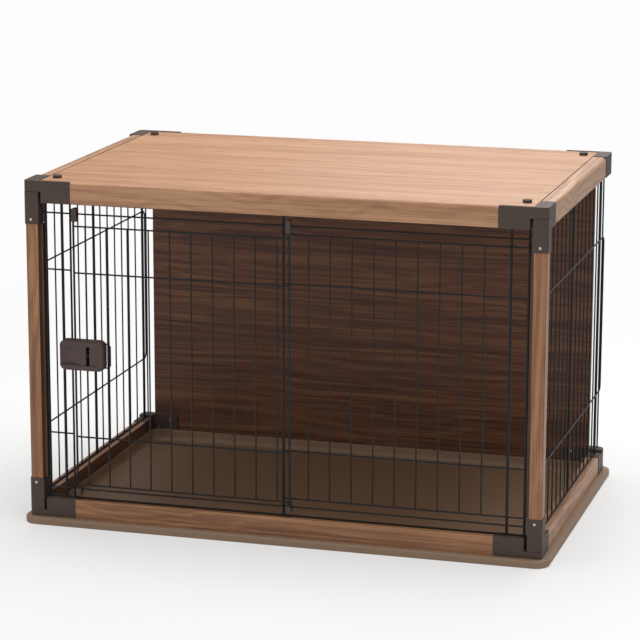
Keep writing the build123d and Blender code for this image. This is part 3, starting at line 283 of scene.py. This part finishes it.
TOP_FOIL = wood("tabletop_foil", "x", *TOP_WALNUT_WITH_SHEEN, figure=0.75, lines=0.85, pores=0.5)
RAIL_X = wood("rail_foil_across", "x", *RAIL_WALNUT, figure=1.1, lines=1.1, shift=(0.31, 0.07, 0.02))
RAIL_Y = wood("rail_foil_deep", "y", *LIT_SIDE_WALNUT, figure=1.0, lines=1.1, shift=(0.11, 0.23, 0.05),
              painted_inner_shade=True)
POST_Z = wood("post_foil", "z", *RAIL_WALNUT, figure=1.1, lines=1.1, shift=(0.05, 0.02, 0.4),
              painted_inner_shade=True)
BOARD_FOIL = wood("back_board_foil", "x", *DEEP_WALNUT, figure=1.3, lines=1.1, pores=0.8, rough=0.40,
                  shift=(0.47, 0.0, 0.19))
BRACKET_BROWN = plastic("bracket_brown", (0.056, 0.034, 0.026), (0.112, 0.074, 0.059))
KNOB_BROWN = plastic("knob_brown", (0.034, 0.022, 0.018), (0.080, 0.056, 0.047), rough=0.40)
LATCH_BROWN = plastic("latch_brown", (0.064, 0.036, 0.030), (0.130, 0.086, 0.074), rough=0.34)
THUMB_BROWN = plastic("thumb_piece_brown", (0.064, 0.036, 0.030), (0.130, 0.086, 0.074), rough=0.34,
                      depth=0.30, ridge_pitch=0.0042)
TRAY_TAN = plastic("tray_tan", (0.270, 0.172, 0.106), (0.320, 0.222, 0.150), rough=0.44, grain=1000.0,
                   depth=0.28)
WIRE_BLACK = powder_coat("wire_black", (0.006, 0.0055, 0.0055))
SCREW_NICKEL = bright_metal("screw_nickel", (0.74, 0.72, 0.68), 0.22)
SPRING_STEEL = bright_metal("spring_steel", (0.50, 0.50, 0.51), 0.26)


def finish_of(node):
    """The finish that a node's surface takes."""
    if node == "tabletop":
        return TOP_FOIL
    if node == "back_board":
        return BOARD_FOIL
    if node.startswith("front_post"):
        return POST_Z
    if node in ("bottom_front_rail", "top_rear_rail"):
        return RAIL_X
    if node.endswith("_rail"):
        return RAIL_Y
    if node.startswith("tabletop_knob"):
        return KNOB_BROWN
    if node == "latch_slider":
        return THUMB_BROWN
    if node in ("latch_housing", "latch_back_plate"):
        return LATCH_BROWN
    by_slot = {"brown_plastic": BRACKET_BROWN, "tray_plastic": TRAY_TAN, "black_wire": WIRE_BLACK,
               "nickel_screw": SCREW_NICKEL, "spring_steel": SPRING_STEEL}
    return by_slot[slot_of[node]]


for name, node_object in frame["nodes"].items():
    node_object.data.materials.clear()
    node_object.data.materials.append(finish_of(name))


# ------------------------------------------------------------------ pieces
def stand_for(piece, node):
    """The piece takes a node's place: its body and its finish."""
    piece.data.materials.clear()
    piece.data.materials.append(finish_of(node))
    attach(piece, body_of[node])
    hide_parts(node)
    return piece


SAME_PLACE = 1e-6
FLAT_ANGLE = math.radians(0.5)
EDGE_ANGLE = math.radians(32)


def eased(node, width, segments=2):
    """A copy of a node's own shape with its sharp edges rounded to the given width.

    The loose triangles are merged at shared places, flat neighbours are joined into
    whole faces, and a bevel by angle rounds what is still sharp.
    """
    work = bmesh.new()
    work.from_mesh(frame["nodes"][node].data)
    bmesh.ops.remove_doubles(work, verts=work.verts, dist=SAME_PLACE)
    bmesh.ops.dissolve_limit(work, angle_limit=FLAT_ANGLE, verts=work.verts, edges=work.edges)
    bmesh.ops.recalc_face_normals(work, faces=work.faces)
    mesh = bpy.data.meshes.new(node + "_eased")
    work.to_mesh(mesh)
    work.free()
    mesh.shade_smooth()
    piece = bpy.data.objects.new(node + "_eased", mesh)
    bpy.context.scene.collection.objects.link(piece)
    round_edges = piece.modifiers.new("round_edges", "BEVEL")
    round_edges.width = width
    round_edges.segments = segments
    round_edges.limit_method = "ANGLE"
    round_edges.angle_limit = EDGE_ANGLE
    round_edges.use_clamp_overlap = True
    even = piece.modifiers.new("even_shading", "WEIGHTED_NORMAL")
    even.keep_sharp = False
    return stand_for(piece, node)


EASED_WIDTHS = {"latch_housing": 0.0006, "latch_slider": 0.0006, "latch_back_plate": 0.0005,
                "tabletop": 0.0010, "back_board": 0.0006}
for side in SIDES:
    EASED_WIDTHS[f"front_post_{side}"] = 0.0006
    EASED_WIDTHS[f"top_{side}_rail"] = 0.0010
    EASED_WIDTHS[f"bottom_{side}_rail"] = 0.0008
    for level in ("top", "bottom"):
        EASED_WIDTHS[f"post_sleeve_{level}_{side}"] = 0.0005
        EASED_WIDTHS[f"door_hook_{level}_{side}"] = 0.0006
        for end in ENDS:
            EASED_WIDTHS[f"{level}_bracket_{end}_{side}"] = 0.0012
EASED_WIDTHS["bottom_front_rail"] = 0.0008
for node, width in EASED_WIDTHS.items():
    eased(node, width)


HEAD_R = 0.0026
HEAD_H = 0.0011
HEAD_RINGS = 14
DOME_POWER = 2.6          # how flat the top of the head is
SHANK_R = 0.0014
SHANK_L = 0.006
RECESS_HALF = 0.00034     # half the width of a cross recess arm
RECESS_R = 0.0015
RECESS_DEEP = 0.0006
RECESS_END = 0.0003       # the recess fades out over this length
ROUND_STEPS = 40


def ring_faces(ring_count):
    """Quads between neighbouring rings, and the triangles that close both ends on a pole.

    Point 0 is the first pole, then come the rings, and the last point is the other pole.
    """
    here = np.arange(ROUND_STEPS)
    after = (here + 1) % ROUND_STEPS
    starts = 1 + np.arange(ring_count - 1)[:, None] * ROUND_STEPS
    quads = np.stack([starts + here, starts + ROUND_STEPS + here,
                      starts + ROUND_STEPS + after, starts + after], axis=-1).reshape(-1, 4)
    last = 1 + (ring_count - 1) * ROUND_STEPS
    pole = last + ROUND_STEPS
    caps = np.concatenate([np.stack([np.zeros_like(here), 1 + here, 1 + after], axis=-1),
                           np.stack([np.full_like(here, pole), last + after, last + here], axis=-1)])
    return quads, caps


def cross_screws(node, seats):
    """Pan head screws that stand out along -Y from their seats, all in one piece.

    The head is a height field over a disc.  Its dome is HEAD_H times the square root
    of one less the share of the radius to the power DOME_POWER, and a cross recess
    that fades at its edges is taken off it.  The shank is a tube closed by a pole.
    """
    radius = np.linspace(0.0, 1.0, HEAD_RINGS + 1)[1:] * HEAD_R
    turn = np.linspace(0.0, 2 * np.pi, ROUND_STEPS, endpoint=False)
    r, a = np.meshgrid(radius, turn, indexing="ij")
    dome = HEAD_H * np.sqrt(np.clip(1.0 - (r / HEAD_R) ** DOME_POWER, 0.0, 1.0))
    arm = np.minimum(np.abs(r * np.cos(a)), np.abs(r * np.sin(a)))
    across_arm = np.clip((RECESS_HALF - arm) / RECESS_HALF * 2.0, 0.0, 1.0)
    fade = across_arm * np.clip((RECESS_R - r) / RECESS_END, 0.0, 1.0)
    head = np.stack([r * np.cos(a), RECESS_DEEP * fade - dome, r * np.sin(a)], axis=-1).reshape(-1, 3)
    depth, a = np.meshgrid([0.0, SHANK_L], turn, indexing="ij")
    shank = np.stack([SHANK_R * np.cos(a), depth, SHANK_R * np.sin(a)], axis=-1).reshape(-1, 3)
    points = np.concatenate([[[0.0, RECESS_DEEP - HEAD_H, 0.0]], head, shank, [[0.0, SHANK_L, 0.0]]])
    quads, caps = ring_faces(HEAD_RINGS + 2)
    offsets = (np.arange(len(seats)) * len(points))[:, None, None]
    mesh = bpy.data.meshes.new(node + "_turned")
    mesh.from_pydata((points + seats[:, None, :]).reshape(-1, 3).tolist(), [],
                     (quads + offsets).reshape(-1, 4).tolist() + (caps + offsets).reshape(-1, 3).tolist())
    work = bmesh.new()
    work.from_mesh(mesh)
    bmesh.ops.recalc_face_normals(work, faces=work.faces)
    work.to_mesh(mesh)
    work.free()
    mesh.shade_smooth()
    piece = bpy.data.objects.new(node + "_turned", mesh)
    bpy.context.scene.collection.objects.link(piece)
    return stand_for(piece, node)


def places_of(node):
    """All vertex places of a node, one row each."""
    mesh = frame["nodes"][node].data
    flat = np.empty(len(mesh.vertices) * 3)
    mesh.vertices.foreach_get("co", flat)
    return flat.reshape(-1, 3)


SEAT_CELL = 0.012
SEAT_REACH = 0.6          # cells from a cell's middle within which points count as its screw
SAME_SCREW = 0.006


def screw_seats(node, face_y):
    """A place on the plane y = face_y for each separate screw of a node.

    Points are gathered round the square cells they fall in.  A cell's reach can end
    inside a screw, so a place can lie about a millimetre off that screw's middle.
    """
    places = places_of(node)
    across = places[:, [0, 2]] / SEAT_CELL
    seats = []
    for cell in np.unique(np.round(across).astype(int), axis=0):
        near = np.abs(across - cell).max(axis=1) < SEAT_REACH
        middle = (places[near].min(axis=0) + places[near].max(axis=0)) / 2
        if not any(np.hypot(middle[0] - s[0], middle[2] - s[2]) < SAME_SCREW for s in seats):
            seats.append((middle[0], face_y, middle[2]))
    return np.array(seats)


SLEEVE_FACE_Y = round(float(places_of("post_sleeve_bottom_left")[:, 1].min()), 6)
cross_screws("sleeve_screws", screw_seats("sleeve_screws", SLEEVE_FACE_Y))


# ------------------------------------------------------------------ camera, light, floor
def soft_panel(name, place, target, size, power, tint):
    """A large area light that faces a point."""
    lamp = bpy.data.lights.new(name, "AREA")
    lamp.shape = "RECTANGLE"
    lamp.size, lamp.size_y = size
    lamp.energy = power
    lamp.color = tint
    panel = bpy.data.objects.new(name, lamp)
    panel.location = place
    panel.rotation_euler = (Vector(target) - Vector(place)).to_track_quat("-Z", "Y").to_euler()
    bpy.context.scene.collection.objects.link(panel)


MIDDLE = (0.0, 0.0, 0.32)
soft_panel("overhead_panel", (0.2, 0.2, 3.2), (0.0, 0.0, 0.5), (3.2, 2.6), 104.0, (1.0, 0.995, 0.985))
soft_panel("right_front_panel", (2.2, -3.4, 2.0), MIDDLE, (2.4, 2.0), 19.0, (1.0, 0.985, 0.965))
soft_panel("left_front_panel", (-2.4, -3.2, 1.6), MIDDLE, (2.4, 2.0), 22.0, (0.98, 0.99, 1.0))
soft_panel("back_panel", (0.6, 3.2, 2.4), (0.0, 0.0, 0.6), (3.4, 1.6), 36.0, (1.0, 0.985, 0.975))

# the room lights the crate softly, and looks white where the camera sees it
ROOM_LIGHT = 0.27
ROOM_WHITE = 0.97

world = bpy.data.worlds.new("soft_room")
bpy.context.scene.world = world
world.use_nodes = True
room = Tree(world.node_tree)
soft = world.node_tree.nodes["Background"]
soft.inputs["Color"].default_value = (0.98, 0.985, 1.0, 1)
seen = room.add("ShaderNodeLightPath").outputs["Is Camera Ray"]
room.put(soft.inputs["Strength"], room.span(seen, 0.0, 1.0, ROOM_LIGHT, ROOM_WHITE))

FLOOR_REACH = 14.0
FLOOR_STEPS = 14
FADE_FROM = 0.5           # distance from the middle where the paper starts to fade
FADE_TO = 2.2
FADE_NEAR = 0.45          # share of the fade that is there already close by


def studio_floor():
    """A pale floor whose height is zero, sampled on a grid of two parameters."""
    steps = np.linspace(-FLOOR_REACH, FLOOR_REACH, FLOOR_STEPS + 1)
    x, y = np.meshgrid(steps, steps, indexing="ij")
    points = np.stack([x, y, np.zeros_like(x)], axis=-1).reshape(-1, 3)
    i, j = np.meshgrid(np.arange(FLOOR_STEPS), np.arange(FLOOR_STEPS), indexing="ij")
    row = FLOOR_STEPS + 1
    first = (i * row + j).ravel()
    faces = np.stack([first, first + row, first + row + 1, first + 1], axis=-1)
    mesh = bpy.data.meshes.new("studio_floor")
    mesh.from_pydata(points.tolist(), [], faces.tolist())
    floor = bpy.data.objects.new("studio_floor", mesh)
    bpy.context.scene.collection.objects.link(floor)
    made, t, shader, where = material("floor_paper")
    tone = t.noise(where, 1.4, 3.0, 0.5)
    paper = t.blend(t.span(tone, 0.3, 0.7), (0.86, 0.86, 0.855, 1), (0.89, 0.89, 0.885, 1))
    # the paper fades into the white of the room with distance, for the camera only
    away = t.add("ShaderNodeVectorMath", {"operation": "LENGTH"}, Vector=where).outputs["Value"]
    fade = t.span(away, FADE_FROM, FADE_TO, FADE_NEAR, 1.0)
    faded = t.math("MULTIPLY", fade, t.add("ShaderNodeLightPath").outputs["Is Camera Ray"])
    t.put(shader.inputs["Base Color"], t.blend(faded, paper, (0.0, 0.0, 0.0, 1)))
    shader.inputs["Emission Color"].default_value = (1, 1, 1, 1)
    t.put(shader.inputs["Emission Strength"], t.math("MULTIPLY", faded, ROOM_WHITE))
    shader.inputs["Specular IOR Level"].default_value = 0.1
    shader.inputs["Roughness"].default_value = 0.75
    mesh.materials.append(made)


studio_floor()

LENS_MM = 150.36
SENSOR_MM = 36.0
CAMERA_PLACE = (1.32698, -4.66541, 1.44845)
CAMERA_YAW, CAMERA_PITCH, CAMERA_ROLL = (math.radians(angle) for angle in (16.03, 12.84, 0.13))

camera_data = bpy.data.cameras.new("camera")
camera_data.lens = LENS_MM
camera_data.sensor_width = SENSOR_MM
camera = bpy.data.objects.new("camera", camera_data)
bpy.context.scene.collection.objects.link(camera)
camera.matrix_world = (Matrix.Translation(CAMERA_PLACE) @ Matrix.Rotation(CAMERA_YAW, 4, "Z")
                       @ Matrix.Rotation(math.pi / 2 - CAMERA_PITCH, 4, "X")
                       @ Matrix.Rotation(CAMERA_ROLL, 4, "Z"))
bpy.context.scene.camera = camera
bpy.context.scene.view_settings.view_transform = "Standard"
